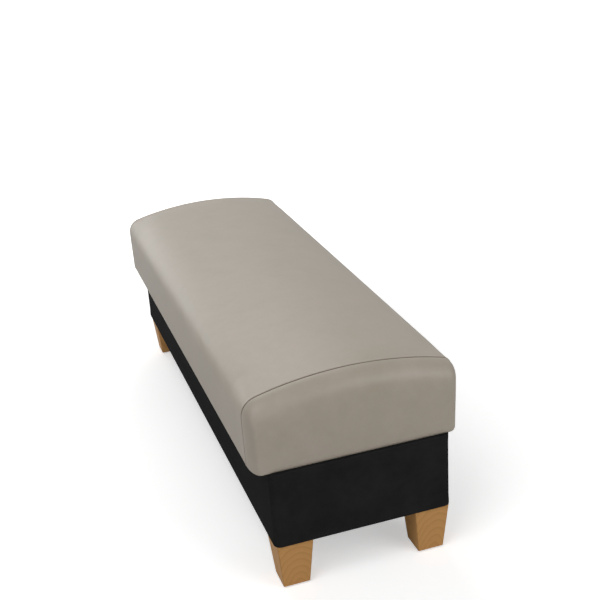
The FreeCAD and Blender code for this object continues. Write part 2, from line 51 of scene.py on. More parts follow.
def add_node(tree, kind, inputs=None, **settings):
    """Adds one shader node, with its settings and what goes into its sockets."""
    node = tree.nodes.new(kind)
    for name, value in settings.items():
        setattr(node, name, value)
    for name, value in (inputs or {}).items():
        if isinstance(value, bpy.types.NodeSocket):
            tree.links.new(value, node.inputs[name])
        else:
            node.inputs[name].default_value = value
    return node


def add_ramp(tree, factor, stops):
    """Adds a colour ramp with the given places and colours."""
    node = tree.nodes.new("ShaderNodeValToRGB")
    tree.links.new(factor, node.inputs["Fac"])
    while len(node.color_ramp.elements) < len(stops):
        node.color_ramp.elements.new(1.0)
    for element, (place, colour) in zip(node.color_ramp.elements, stops):
        element.position = place
        element.color = (*colour, 1.0)
    return node


def add_mask(tree, value, low, high, top=1.0):
    """Turns a value into a mask that rises from 0 at low to top at high."""
    node = add_node(tree, "ShaderNodeMapRange", {"Value": value}, clamp=True)
    node.inputs["From Min"].default_value = low
    node.inputs["From Max"].default_value = high
    node.inputs["To Max"].default_value = top
    return node.outputs["Result"]


def new_finish(name, roughness, **shader_values):
    """Makes an empty material with one shader and Object coordinates to build on."""
    finish = bpy.data.materials.new(name)
    finish.use_nodes = True
    tree = finish.node_tree
    shader = tree.nodes["Principled BSDF"]
    shader.inputs["Roughness"].default_value = roughness
    for socket, value in shader_values.items():
        shader.inputs[socket.replace("_", " ")].default_value = value
    place = add_node(tree, "ShaderNodeTexCoord").outputs["Object"]
    return finish, tree, shader, place


def put_on(finish, *pieces):
    """Gives pieces or CAD nodes a material in all of their slots."""
    for piece in pieces:
        piece.data.materials.clear()
        piece.data.materials.append(finish)


def new_group(name, inputs, outputs):
    """Makes an empty shader node group with the given value and vector sockets."""
    group = bpy.data.node_groups.new(name, "ShaderNodeTree")
    for side, sockets in (("INPUT", inputs), ("OUTPUT", outputs)):
        for socket, kind in sockets:
            group.interface.new_socket(socket, in_out=side, socket_type="NodeSocket" + kind)
    start = group.nodes.new("NodeGroupInput")
    end = group.nodes.new("NodeGroupOutput")
    return group, start.outputs, end.inputs


# Wood figure: year rings about an upright pith, long fibres, and the short dark flecks of beech.
wood_figure, given, wanted = new_group(
    "wood_figure",
    [("Vector", "Vector"), ("Ring Scale", "Float"), ("Waviness", "Float")],
    [("Rings", "Float"), ("Fibres", "Float"), ("Flecks", "Float")],
)
bend = add_node(wood_figure, "ShaderNodeTexNoise", {"Vector": given["Vector"], "Scale": 9.0, "Detail": 1.0})
shift = add_node(wood_figure, "ShaderNodeVectorMath",
                 {0: bend.outputs["Color"], 1: (0.5, 0.5, 0.5)}, operation="SUBTRACT")
push = add_node(wood_figure, "ShaderNodeVectorMath", {0: shift.outputs[0]}, operation="SCALE")
wood_figure.links.new(given["Waviness"], push.inputs["Scale"])
bent = add_node(wood_figure, "ShaderNodeVectorMath",
                {0: given["Vector"], 1: push.outputs[0]}, operation="ADD")
rings = add_node(wood_figure, "ShaderNodeTexWave",
                 {"Vector": bent.outputs[0], "Scale": given["Ring Scale"], "Distortion": 2.4,
                  "Detail": 2.0, "Detail Scale": 0.9},
                 wave_type="RINGS", rings_direction="Z", wave_profile="SAW")
long_way = add_node(wood_figure, "ShaderNodeVectorMath",
                    {0: bent.outputs[0], 1: (1.0, 1.0, 0.035)}, operation="MULTIPLY")
fibres = add_node(wood_figure, "ShaderNodeTexNoise",
                  {"Vector": long_way.outputs[0], "Scale": 900.0, "Detail": 3.0, "Roughness": 0.6})
short_way = add_node(wood_figure, "ShaderNodeVectorMath",
                     {0: bent.outputs[0], 1: (1.0, 1.0, 0.14)}, operation="MULTIPLY")
flecks = add_node(wood_figure, "ShaderNodeTexVoronoi", {"Vector": short_way.outputs[0], "Scale": 620.0})
fleck_mask = add_node(wood_figure, "ShaderNodeMapRange",
                      {"Value": flecks.outputs["Distance"], "From Min": 0.24, "From Max": 0.12})
wood_figure.links.new(rings.outputs["Fac"], wanted["Rings"])
wood_figure.links.new(fibres.outputs["Fac"], wanted["Fibres"])
wood_figure.links.new(fleck_mask.outputs["Result"], wanted["Flecks"])


def beech_leg(name, pith, lean):
    """Lacquered beech for one leg, with the pith beside it and leaning a little."""
    finish, tree, shader, place = new_finish(name, 0.42)
    shader.inputs["Specular IOR Level"].default_value = 0.06
    turned = add_node(tree, "ShaderNodeMapping", {"Vector": place, "Location": pith, "Rotation": lean},
                      vector_type="TEXTURE")
    figure = add_node(tree, "ShaderNodeGroup", node_tree=wood_figure)
    tree.links.new(turned.outputs[0], figure.inputs["Vector"])
    figure.inputs["Ring Scale"].default_value = RING_SCALE
    figure.inputs["Waviness"].default_value = LEG_WAVINESS
    ring_colour = add_ramp(tree, figure.outputs["Rings"], [
        (0.0, (0.582, 0.316, 0.116)),
        (0.60, (0.562, 0.302, 0.109)),
        (0.92, (0.512, 0.268, 0.094)),
        (1.0, (0.566, 0.305, 0.110)),
    ])
    streaks = add_mask(tree, figure.outputs["Fibres"], 0.35, 0.75, 0.30)
    streaked = add_node(tree, "ShaderNodeMix", {"Factor": streaks}, data_type="RGBA", blend_type="MULTIPLY")
    tree.links.new(ring_colour.outputs["Color"], streaked.inputs[6])
    streaked.inputs[7].default_value = (0.70, 0.60, 0.50, 1.0)
    dots = add_mask(tree, figure.outputs["Flecks"], 0.0, 1.0, 0.35)
    flecked = add_node(tree, "ShaderNodeMix", {"Factor": dots}, data_type="RGBA", blend_type="MULTIPLY")
    tree.links.new(streaked.outputs[2], flecked.inputs[6])
    flecked.inputs[7].default_value = (0.62, 0.48, 0.38, 1.0)
    facing = add_node(tree, "ShaderNodeNewGeometry")
    sides = add_node(tree, "ShaderNodeVectorMath", {0: facing.outputs["Normal"]}, operation="ABSOLUTE")
    parts = add_node(tree, "ShaderNodeSeparateXYZ", {0: sides.outputs[0]})
    flat = add_node(tree, "ShaderNodeMath", {0: parts.outputs[0], 1: parts.outputs[1]}, operation="MAXIMUM")
    flat = add_node(tree, "ShaderNodeMath", {0: flat.outputs[0], 1: parts.outputs[2]}, operation="MAXIMUM")
    # Painted shade: the colour is made darker along the rounded corners, where the normal turns away from
    # the flat faces.
    corner = add_mask(tree, flat.outputs[0], 0.975, 0.80, 0.45)
    corner_shaded = add_node(tree, "ShaderNodeMix", {"Factor": corner}, data_type="RGBA", blend_type="MULTIPLY")
    tree.links.new(flecked.outputs[2], corner_shaded.inputs[6])
    corner_shaded.inputs[7].default_value = (0.55, 0.45, 0.38, 1.0)
    tree.links.new(corner_shaded.outputs[2], shader.inputs["Base Color"])
    gloss = add_node(tree, "ShaderNodeMapRange", {"Value": figure.outputs["Fibres"]})
    gloss.inputs["To Min"].default_value = 0.34
    gloss.inputs["To Max"].default_value = 0.50
    tree.links.new(gloss.outputs["Result"], shader.inputs["Roughness"])
    bump = add_node(tree, "ShaderNodeBump", {"Height": figure.outputs["Fibres"]})
    bump.inputs["Strength"].default_value = 0.10
    bump.inputs["Distance"].default_value = 0.0004
    tree.links.new(bump.outputs["Normal"], shader.inputs["Normal"])
    return finish


# The pith lies this far from each leg's axis, and leans by these turns.
for node, axis_x, axis_y, off, lean in (
    ("leg_front_right", LEG_AXIS_X, -LEG_AXIS_Y, (0.0175, 0.005, 0.0), (0.05, -0.47, 0.0)),
    ("leg_back_right", LEG_AXIS_X, LEG_AXIS_Y, (0.0135, 0.006, 0.01), (-0.06, -0.40, 0.0)),
    ("leg_front_left", -LEG_AXIS_X, -LEG_AXIS_Y, (-0.0155, -0.006, 0.005), (0.04, 0.43, 0.0)),
    ("leg_back_left", -LEG_AXIS_X, LEG_AXIS_Y, (-0.0205, -0.008, -0.01), (-0.05, 0.50, 0.0)),
):
    pith = (axis_x + off[0], axis_y + off[1], off[2])
    put_on(beech_leg("beech_" + node, pith, lean), nodes[node])


# Glides. An off-white nylon pad with a nail moulded in is knocked into the foot of each leg.
# They have a smooth moulded face that scuffs where it slides on the floor.
finish, tree, shader, place = new_finish("nylon_glide", 0.38)
cloud = add_node(tree, "ShaderNodeTexNoise", {"Vector": place, "Scale": 260.0, "Detail": 4.0})
tint = add_ramp(tree, cloud.outputs["Fac"], [(0.3, (0.66, 0.64, 0.58)), (0.7, (0.76, 0.74, 0.69))])
tree.links.new(tint.outputs["Color"], shader.inputs["Base Color"])
scuffs = add_node(tree, "ShaderNodeTexNoise", {"Vector": place, "Scale": 900.0, "Detail": 3.0})
rough = add_node(tree, "ShaderNodeMapRange",
                 {"Value": scuffs.outputs["Fac"], "To Min": 0.30, "To Max": 0.55})
tree.links.new(rough.outputs["Result"], shader.inputs["Roughness"])
put_on(finish, nodes["glides"])


# Box frame. Rails, braces and the seat board are 18 mm birch plywood, glued and stapled, with
# hardwood cleats and corner blocks. All of it is left unfinished, because the covers hide it.
PLY = 0.0018
ALONG_X = 0
ALONG_Y = 1
ALONG_Z = 2


def birch_plywood(name, thickness_axis, grain_turn):
    """Unfinished birch plywood whose thin plies are stacked along one axis."""
    finish, tree, shader, place = new_finish(name, 0.62)
    turned = add_node(tree, "ShaderNodeMapping", {"Vector": place, "Rotation": grain_turn})
    figure = add_node(tree, "ShaderNodeGroup", node_tree=wood_figure)
    tree.links.new(turned.outputs[0], figure.inputs["Vector"])
    figure.inputs["Ring Scale"].default_value = 7.0
    figure.inputs["Waviness"].default_value = 0.06
    face = add_ramp(tree, figure.outputs["Rings"], [
        (0.0, (0.66, 0.50, 0.32)),
        (0.8, (0.60, 0.44, 0.27)),
        (1.0, (0.52, 0.37, 0.22)),
    ])
    parts = add_node(tree, "ShaderNodeSeparateXYZ", {0: place})
    across = add_node(tree, "ShaderNodeMath", {0: parts.outputs[thickness_axis], 1: 2 * PLY},
                      operation="PINGPONG")
    layer = add_mask(tree, across.outputs[0], 0.8 * PLY, 1.2 * PLY, 0.55)
    edge = add_node(tree, "ShaderNodeMix", {"Factor": layer}, data_type="RGBA", blend_type="MULTIPLY")
    tree.links.new(face.outputs["Color"], edge.inputs[6])
    edge.inputs[7].default_value = (0.62, 0.52, 0.42, 1.0)
    tree.links.new(edge.outputs[2], shader.inputs["Base Color"])
    bump = add_node(tree, "ShaderNodeBump", {"Height": figure.outputs["Fibres"]})
    bump.inputs["Strength"].default_value = 0.25
    bump.inputs["Distance"].default_value = 0.0006
    tree.links.new(bump.outputs["Normal"], shader.inputs["Normal"])
    return finish


LYING_ALONG = (0.0, math.pi / 2, 0.0)
LYING_ACROSS = (math.pi / 2, 0.0, 0.0)
put_on(birch_plywood("plywood_long_rails", ALONG_Y, LYING_ALONG),
       nodes["base_rail_front"], nodes["base_rail_back"])
put_on(birch_plywood("plywood_end_rails", ALONG_X, LYING_ACROSS),
       nodes["base_rail_left"], nodes["base_rail_right"])
put_on(birch_plywood("plywood_braces", ALONG_X, LYING_ACROSS),
       nodes["cross_brace_left"], nodes["cross_brace_right"])
put_on(birch_plywood("plywood_board", ALONG_Z, LYING_ALONG), nodes["seat_board"])


def sawn_hardwood(name, grain_turn):
    """Sawn hardwood for blocks and cleats."""
    finish, tree, shader, place = new_finish(name, 0.66)
    turned = add_node(tree, "ShaderNodeMapping", {"Vector": place, "Rotation": grain_turn})
    figure = add_node(tree, "ShaderNodeGroup", node_tree=wood_figure)
    tree.links.new(turned.outputs[0], figure.inputs["Vector"])
    figure.inputs["Ring Scale"].default_value = 40.0
    figure.inputs["Waviness"].default_value = 0.02
    face = add_ramp(tree, figure.outputs["Rings"], [
        (0.0, (0.62, 0.46, 0.29)),
        (0.8, (0.56, 0.40, 0.24)),
        (1.0, (0.46, 0.31, 0.18)),
    ])
    tree.links.new(face.outputs["Color"], shader.inputs["Base Color"])
    bump = add_node(tree, "ShaderNodeBump", {"Height": figure.outputs["Fibres"]})
    bump.inputs["Strength"].default_value = 0.4
    bump.inputs["Distance"].default_value = 0.0008
    tree.links.new(bump.outputs["Normal"], shader.inputs["Normal"])
    return finish


put_on(sawn_hardwood("hardwood_cleats", LYING_ALONG), nodes["cleat_front"], nodes["cleat_back"])
put_on(sawn_hardwood("hardwood_blocks", LYING_ACROSS),
       *[nodes[name] for name in nodes if name.startswith("corner_block")])


# Fixings. Hanger bolts with hex nuts hold the legs, and screws go up through the cleats into the
# seat board. All are zinc-plated steel, with the faint cloudiness that plating has.
finish, tree, shader, place = new_finish("zinc_steel", 0.38, Metallic=1.0)
cloud = add_node(tree, "ShaderNodeTexNoise", {"Vector": place, "Scale": 420.0, "Detail": 4.0})
tint = add_ramp(tree, cloud.outputs["Fac"], [(0.3, (0.52, 0.52, 0.50)), (0.7, (0.68, 0.68, 0.66))])
tree.links.new(tint.outputs["Color"], shader.inputs["Base Color"])
rough = add_node(tree, "ShaderNodeMapRange",
                 {"Value": cloud.outputs["Fac"], "To Min": 0.26, "To Max": 0.48})
tree.links.new(rough.outputs["Result"], shader.inputs["Roughness"])
put_on(finish, nodes["leg_bolts"], nodes["leg_nuts"], nodes["seat_screws"])
zinc_steel = finish


# Base wrap. One strip of black satin vinyl goes round the box over thin felt. It is pulled tight,
# turned over the top and bottom edges and stapled there, so its corners and edges stay soft. Its
# two ends meet in a folded lap in the middle of the back.
BASE_LENGTH = 1.334
BASE_WIDTH = 0.396
BASE_LOW = 0.112
BASE_TOP = 0.286
BASE_CORNER = 0.0158
STRAIGHT_X = BASE_LENGTH / 2 - BASE_CORNER
STRAIGHT_Y = BASE_WIDTH / 2 - BASE_CORNER
FOLD = 0.0015
TURNED_IN = 0.020
VINYL = 0.0012
LAP = 0.050
RIPPLE = 0.0005
# The strip is cut into columns and rows so that it can ripple. They are finer at the lap and folds.
COLUMNS = 20
COLUMN_PITCH = 0.032
LAP_STEPS = (0.0008, 0.0030, 0.0120)
END_COLUMNS = 5
END_PITCH = 0.033
ROWS_UP = (0.0004, 0.0012, 0.0022, 0.008, 0.023, 0.043, 0.068, 0.098)
ROWS_DOWN = (0.0004, 0.0012, 0.0022, 0.008, 0.021, 0.046)


def new_object(name, shape):
    """Makes an object from a bmesh."""
    mesh = bpy.data.meshes.new(name)
    shape.to_mesh(mesh)
    shape.free()
    made = bpy.data.objects.new(name, mesh)
    bpy.context.collection.objects.link(made)
    return made


def new_piece(name, shape):
    """Makes a smooth piece from a bmesh, which then rides on the bench."""
    piece = new_object(name, shape)
    piece.data.shade_smooth()
    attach(piece, "root")
    return piece


def cut_at(shape, place, way, faces=None):
    """Cuts a bmesh along a plane: through all of its faces, or only the given ones, in their order."""
    faces = shape.faces[:] if faces is None else faces
    edges = {edge: None for face in faces for edge in face.edges}
    verts = {vert: None for face in faces for vert in face.verts}
    bmesh.ops.bisect_plane(shape, geom=[*faces, *edges, *verts], dist=1e-6, plane_co=place, plane_no=way)


def settle(piece):
    """Applies a piece's modifiers to its mesh."""
    bpy.context.view_layer.update()
    built = bpy.data.meshes.new_from_object(piece.evaluated_get(bpy.context.evaluated_depsgraph_get()))
    piece.modifiers.clear()
    old = piece.data
    built.name = old.name
    piece.data = built
    bpy.data.meshes.remove(old)
    built.shade_smooth()


def slack(point, phase, reach):
    """How far stretched vinyl stands off at a point: a slow, even ripple."""
    return reach * (math.sin(point.x * 9.1 + phase) * math.cos(point.z * 17.0 + phase * 1.7)
                    + 0.6 * math.sin(point.x * 23.0 - phase * 2.3 + point.y * 14.0)) / 1.6


shape = bmesh.new()
bmesh.ops.create_cube(shape, size=1.0)
bmesh.ops.scale(shape, vec=(BASE_LENGTH, BASE_WIDTH, BASE_TOP - BASE_LOW), verts=shape.verts)
bmesh.ops.translate(shape, vec=(0, 0, (BASE_TOP + BASE_LOW) / 2), verts=shape.verts)
upright = [e for e in shape.edges if abs(e.verts[0].co.z - e.verts[1].co.z) > 0.1]
bmesh.ops.bevel(shape, geom=upright, offset=BASE_CORNER, offset_type="OFFSET", segments=8,
                profile=0.5, affect="EDGES", material=-1)
for x in [step * COLUMN_PITCH for step in range(-COLUMNS, COLUMNS + 1)] + list(LAP_STEPS):
    cut_at(shape, (x, 0, 0), (1, 0, 0))
for step in range(-END_COLUMNS, END_COLUMNS + 1):
    cut_at(shape, (0, step * END_PITCH, 0), (0, 1, 0))
lids = [f for f in shape.faces if abs(f.normal.z) > 0.9]
bmesh.ops.delete(shape, geom=lids, context="FACES")
for side in (-1, 1):
    level = BASE_TOP if side > 0 else BASE_LOW
    rim = [e for e in shape.edges if e.is_boundary
           and abs(e.verts[0].co.z - level) < 1e-5 and abs(e.verts[1].co.z - level) < 1e-5]
    for inward in (0.001, FOLD, TURNED_IN):
        grown = bmesh.ops.extrude_edge_only(shape, edges=rim)["geom"]
        rim = [g for g in grown if isinstance(g, bmesh.types.BMEdge)]
        for vert in [g for g in grown if isinstance(g, bmesh.types.BMVert)]:
            middle = Vector((max(-STRAIGHT_X, min(STRAIGHT_X, vert.co.x)),
                             max(-STRAIGHT_Y, min(STRAIGHT_Y, vert.co.y)), vert.co.z))
            out = (vert.co - middle).normalized()
            vert.co = middle + out * max(0.0, BASE_CORNER - inward)
            spare = max(0.0, inward - BASE_CORNER)
            if abs(vert.co.x) > STRAIGHT_X - 1e-4:
                vert.co.x -= math.copysign(spare, vert.co.x)
            if abs(vert.co.y) > STRAIGHT_Y - 1e-4:
                vert.co.y -= math.copysign(spare, vert.co.y)
for z in [BASE_LOW + up for up in ROWS_UP] + [BASE_TOP - down for down in ROWS_DOWN]:
    cut_at(shape, (0, 0, z), (0, 0, 1))
bmesh.ops.remove_doubles(shape, verts=shape.verts, dist=1e-6)
bmesh.ops.recalc_face_normals(shape, faces=shape.faces)
shape.normal_update()
for vert in shape.verts:
    near_edge = min(vert.co.z - BASE_LOW, BASE_TOP - vert.co.z)
    side = Vector((vert.normal.x, vert.normal.y, 0)).normalized()
    if near_edge < FOLD and abs(vert.normal.z) < 0.95:
        drop = FOLD - near_edge
        vert.co -= side * (FOLD - math.sqrt(max(0.0, FOLD ** 2 - drop ** 2)))
    elif near_edge > 0.01:
        vert.co += side * (slack(vert.co, 0.6, RIPPLE) - RIPPLE)
    if side.y > 0.9 and 0.0004 < vert.co.x < LAP:
        vert.co.y += VINYL * (1 - vert.co.x / LAP)
base_wrap = new_piece("base_wrap", shape)
skin = base_wrap.modifiers.new("skin", "SOLIDIFY")
skin.thickness = VINYL
skin.offset = -1.0
settle(base_wrap)
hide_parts("base_cover", "base_padding")

# Vinyl grain: a shallow pebbled emboss with soft creases between the pebbles.
vinyl_grain, given, wanted = new_group(
    "vinyl_grain", [("Vector", "Vector"), ("Scale", "Float")], [("Height", "Float"), ("Cloud", "Float")])
wander = add_node(vinyl_grain, "ShaderNodeTexNoise", {"Vector": given["Vector"], "Scale": 300.0})
moved = add_node(vinyl_grain, "ShaderNodeVectorMath",
                 {0: wander.outputs["Color"], 1: (0.0012, 0.0012, 0.0012), 2: given["Vector"]},
                 operation="MULTIPLY_ADD")
pebbles = add_node(vinyl_grain, "ShaderNodeTexVoronoi",
                   {"Vector": moved.outputs[0], "Scale": given["Scale"], "Smoothness": 0.6},
                   feature="SMOOTH_F1")
vinyl_grain.links.new(pebbles.outputs["Distance"], wanted["Height"])
cloud = add_node(vinyl_grain, "ShaderNodeTexNoise",
                 {"Vector": given["Vector"], "Scale": 11.0, "Detail": 6.0, "Roughness": 0.68})
vinyl_grain.links.new(cloud.outputs["Fac"], wanted["Cloud"])


def satin_vinyl(name, dark, light, low_gloss, high_gloss, pebble, shine):
    """Satin upholstery vinyl between two close colours."""
    finish, tree, shader, place = new_finish(name, 0.5)
    shader.inputs["Specular IOR Level"].default_value = shine
    grain = add_node(tree, "ShaderNodeGroup", node_tree=vinyl_grain)
    tree.links.new(place, grain.inputs["Vector"])
    grain.inputs["Scale"].default_value = pebble
    tint = add_ramp(tree, grain.outputs["Cloud"], [(0.34, dark), (0.66, light)])
    tree.links.new(tint.outputs["Color"], shader.inputs["Base Color"])
    rough = add_node(tree, "ShaderNodeMapRange", {"Value": grain.outputs["Cloud"]})
    rough.inputs["From Min"].default_value = 0.3
    rough.inputs["From Max"].default_value = 0.7
    rough.inputs["To Min"].default_value = low_gloss
    rough.inputs["To Max"].default_value = high_gloss
    tree.links.new(rough.outputs["Result"], shader.inputs["Roughness"])
    bump = add_node(tree, "ShaderNodeBump", {"Height": grain.outputs["Height"]})
    bump.inputs["Strength"].default_value = 0.22
    bump.inputs["Distance"].default_value = 0.0003
    tree.links.new(bump.outputs["Normal"], shader.inputs["Normal"])
    return finish


black = satin_vinyl("black_vinyl", (0.0150, 0.0150, 0.0155), (0.0215, 0.0215, 0.0220),
                    0.42, 0.54, 1100.0, 0.001)
put_on(black, base_wrap)


# Seat cushion. A foam block with a crowned top and domed ends on the seat board, wadded and then
# covered in taupe vinyl. One long panel goes over the crown and down both long sides, a panel
# with a plain sewn seam closes each end, and the cover is stapled under the board.
# The crown, the shoulders, the end's corner and the tucks are radii, and the halves are widths from
# the middle. The draws say how far the sides pull in at the bottom. SOFT values say how much of
# the sat shoulder is left at the seam, and how far from the seam it is all there.
SEAT_HALF_LENGTH = 0.661
SEAT_LOW = BASE_TOP
SEAT_TOP = 0.468
CROWN = 0.819
FRONT_HALF = 0.2335
FRONT_SHOULDER = 0.058
BACK_HALF = 0.2265
BACK_SHOULDER = 0.025
SEAM_SHOULDER = 0.0325
END_CORNER = 0.010
END_DOME = 0.042
END_NARROWING = 0.018
FRONT_DRAW = 0.002
BACK_DRAW = 0.004
TUCK = 0.008
END_TUCK = 0.003
SEAM_AT = SEAT_HALF_LENGTH - END_DOME
SOFT_AT_SEAM = 0.35
SOFT_FROM_SEAM = 0.11
STATIONS = 138
DOME_STATIONS = 10
OPENING_X = 0.611
OPENING_Y = 0.1785
BOARD_GAP = 0.0004


def evenly(steps):
    """Shares from 0 up to just below 1, in even steps."""
    return [step / steps for step in range(steps)]


def half_section(fall, share, half, shoulder, draw):
    """Half of the cushion's outline, from the top's middle to the bottom's, as y and z."""
    half -= share * END_NARROWING
    crown = CROWN - fall
    shoulder += share * (END_CORNER - shoulder)
    drawn = half - draw
    crown_z = SEAT_TOP - fall - crown
    shoulder_z = crown_z + math.sqrt((crown - shoulder) ** 2 - (half - shoulder) ** 2)
    lean = math.atan2(shoulder_z - crown_z, half - shoulder)
    points = []
    for over in evenly(24):
        turn = math.pi / 2 + (lean - math.pi / 2) * over
        points.append((crown * math.cos(turn), crown_z + crown * math.sin(turn)))
    for over in evenly(9):
        turn = lean * (1 - over)
        points.append((half - shoulder + shoulder * math.cos(turn), shoulder_z + shoulder * math.sin(turn)))
    side = shoulder_z - SEAT_LOW - TUCK
    for down in evenly(12):
        points.append((half - draw * down ** 2, shoulder_z - side * down))
    for under in evenly(4):
        turn = -math.pi / 2 * under
        points.append((drawn - TUCK + TUCK * math.cos(turn), SEAT_LOW + TUCK + TUCK * math.sin(turn)))
    for inward in evenly(10):
        points.append(((drawn - TUCK) * (1 - inward), SEAT_LOW))
    points.append((0.0, SEAT_LOW))
    return points


def whole_section(fall, share, soft):
    """The closed outline, once round. The front shoulder is sat softer than the back one."""
    back_shoulder = SEAM_SHOULDER + soft * (BACK_SHOULDER - SEAM_SHOULDER)
    front_shoulder = SEAM_SHOULDER + soft * (FRONT_SHOULDER - SEAM_SHOULDER)
    back = half_section(fall, share, BACK_HALF, back_shoulder, BACK_DRAW)
    front = half_section(fall, share, FRONT_HALF, front_shoulder, FRONT_DRAW)
    return back + [(-y, z) for y, z in reversed(front[1:-1])]


def lay_ring(ring, outline, x):
    """Puts a ring of vertices on an outline at one place along the seat."""
    for vert, (y, z) in zip(ring, outline):
        vert.co = (x, y, z)


def next_ring(shape, ring):
    """Extrudes a ring of vertices to the next place and keeps their order."""
    edges = [shape.edges.get((a, b)) for a, b in zip(ring, ring[1:] + ring[:1])]
    grown = bmesh.ops.extrude_edge_only(shape, edges=edges)["geom"]
    fresh = [g for g in grown if isinstance(g, bmesh.types.BMVert)]
    ordered = []
    for vert in ring:
        for edge in vert.link_edges:
            other = edge.other_vert(vert)
            if other in fresh:
                ordered.append(other)
                break
    return ordered


# Each station has its place along the seat, how far the crown has fallen there, its share of the
# end's narrowing, and how softly the front shoulder is sat.
stations = []
for step in range(STATIONS + 1):
    x = -SEAM_AT + 2 * SEAM_AT * step / STATIONS
    away = min(1.0, (SEAM_AT - abs(x)) / SOFT_FROM_SEAM)
    stations.append((x, 0.0, 0.0, SOFT_AT_SEAM + (1 - SOFT_AT_SEAM) * away * away * (3 - 2 * away)))
for step in range(1, DOME_STATIONS + 1):
    turn = math.pi / 2 * step / DOME_STATIONS
    share = 1 - math.cos(turn)
    soft = SOFT_AT_SEAM * (1 - share)
    stations.append((SEAM_AT + END_DOME * math.sin(turn), END_DOME * share, share, soft))
    stations.insert(0, (-SEAM_AT - END_DOME * math.sin(turn), END_DOME * share, share, soft))

shape = bmesh.new()
first = whole_section(*stations[0][1:])
ring = bmesh.ops.create_circle(shape, segments=len(first), radius=1.0)["verts"]
lay_ring(ring, first, stations[0][0])
start_ring = ring
for x, fall, share, soft in stations[1:]:
    ring = next_ring(shape, ring)
    lay_ring(ring, whole_section(fall, share, soft), x)
for last, sign in ((start_ring, -1), (ring, 1)):
    outline = whole_section(END_DOME, 1.0, 0.0)
    middle = (SEAT_LOW + SEAT_TOP - END_DOME) / 2
    ring = last
    for keep in (0.95, 0.86, 0.72, 0.56, 0.40, 0.24, 0.10):
        ring = next_ring(shape, ring)
        lay_ring(ring, [(y * keep, middle + (z - middle) * keep) for y, z in outline],
                 sign * SEAT_HALF_LENGTH)
    shape.faces.new(ring)
bmesh.ops.recalc_face_normals(shape, faces=shape.faces)
for vert in shape.verts:
    over = vert.co.z - SEAT_LOW
    if abs(vert.co.x) > SEAT_HALF_LENGTH - END_TUCK and over < END_TUCK:
        tuck_in = END_TUCK - math.sqrt(max(0.0, END_TUCK ** 2 - (END_TUCK - over) ** 2))
        vert.co.x -= math.copysign(tuck_in, vert.co.x)
seat_cushion = new_piece("seat_cushion", shape)

# The cover starts this much too small and may move this far past the drawn form. It is held near
# the staples under the board, and less so along the seams.
START_IN = 0.004
SWELL_CAP = 0.0018
HELD_UP = 0.004
BACKED_UP = 0.034
SEAM_HOLD = 0.75
SEAM_REACH = 0.012


def room_to_swell(point):
    """From 0 where the cover is held down on the board to 1 where foam backs it."""
    up = max(0.0, min(1.0, (point.z - SEAT_LOW - HELD_UP) / (BACKED_UP - HELD_UP)))
    sewn = math.exp(-((abs(point.x) - SEAM_AT) / SEAM_REACH) ** 2)
    return up * up * (3 - 2 * up) * (1 - SEAM_HOLD * sewn)


def beside_each(mesh):
    """Lists the neighbours of each vertex."""
    beside = [[] for _ in mesh.vertices]
    for edge in mesh.edges:
        a, b = edge.vertices
        beside[a].append(b)
        beside[b].append(a)
    return beside


def evened(values, beside, rounds):
    """Spreads values over their neighbours so that no wrinkle is sharper than the vinyl allows."""
    for _ in range(rounds):
        values = [(own * 2 + sum(values[n] for n in near)) / (len(near) + 2)
                  for own, near in zip(values, beside)]
    return values


def swell(piece, start_in, cap):
    """Lets the foam push a slightly small cover out, and moves the piece's points as it moved."""
    trial_mesh = piece.data.copy()
    trial = bpy.data.objects.new("swelling", trial_mesh)
    bpy.context.collection.objects.link(trial)
    for vert, source in zip(trial_mesh.vertices, piece.data.vertices):
        vert.co = source.co - source.normal * start_in * room_to_swell(source.co)
    remesh = trial.modifiers.new("even", "REMESH")
    remesh.mode = "VOXEL"
    remesh.voxel_size = 0.010
    settle(trial)
    even = trial.data
    start = [v.co.copy() for v in even.vertices]
    outward = [v.normal.copy() for v in even.vertices]
    held = trial.vertex_groups.new(name="held")
    for vert in even.vertices:
        hold = 1 - room_to_swell(vert.co)
        if hold > 0.01:
            held.add([vert.index], hold, "REPLACE")
    cloth = trial.modifiers.new("vinyl", "CLOTH")
    cloth.settings.use_pressure = True
    cloth.settings.uniform_pressure_force = 4.0
    cloth.settings.effector_weights.gravity = 0.0
    cloth.settings.vertex_group_mass = "held"
    cloth.settings.pin_stiffness = 1.0
    cloth.collision_settings.use_collision = False
    for step in range(1, 21):
        bpy.context.scene.frame_set(step)
    blown = trial.evaluated_get(bpy.context.evaluated_depsgraph_get()).data
    out = [(vert.co - place).dot(normal) for vert, place, normal in zip(blown.vertices, start, outward)]
    out = evened(out, beside_each(even), 10)
    tree = KDTree(len(start))
    for index, place in enumerate(start):
        tree.insert(place, index)
    tree.balance()
    pushed = []
    for vert in piece.data.vertices:
        goal = start_in * room_to_swell(vert.co)
        near = tree.find_n(vert.co - vert.normal * goal, 8)
        weights = [1.0 / (distance + 0.004) for _, _, distance in near]
        push = sum(out[index] * weight for (_, index, _), weight in zip(near, weights)) / sum(weights)
        pushed.append(max(-cap, min(cap, push - goal)) * room_to_swell(vert.co))
    pushed = evened(pushed, beside_each(piece.data), 12)
    moved = [vert.co + vert.normal * push for vert, push in zip(piece.data.vertices, pushed)]
    for vert, place in zip(piece.data.vertices, moved):
        vert.co = place
        vert.co.z = max(vert.co.z, SEAT_LOW)
    bpy.context.scene.frame_set(1)
    bpy.data.objects.remove(trial)
    bpy.data.meshes.remove(even)


swell(seat_cushion, START_IN, SWELL_CAP)
finer = seat_cushion.modifiers.new("finer", "SUBSURF")
finer.levels = 1
finer.render_levels = 1
settle(seat_cushion)

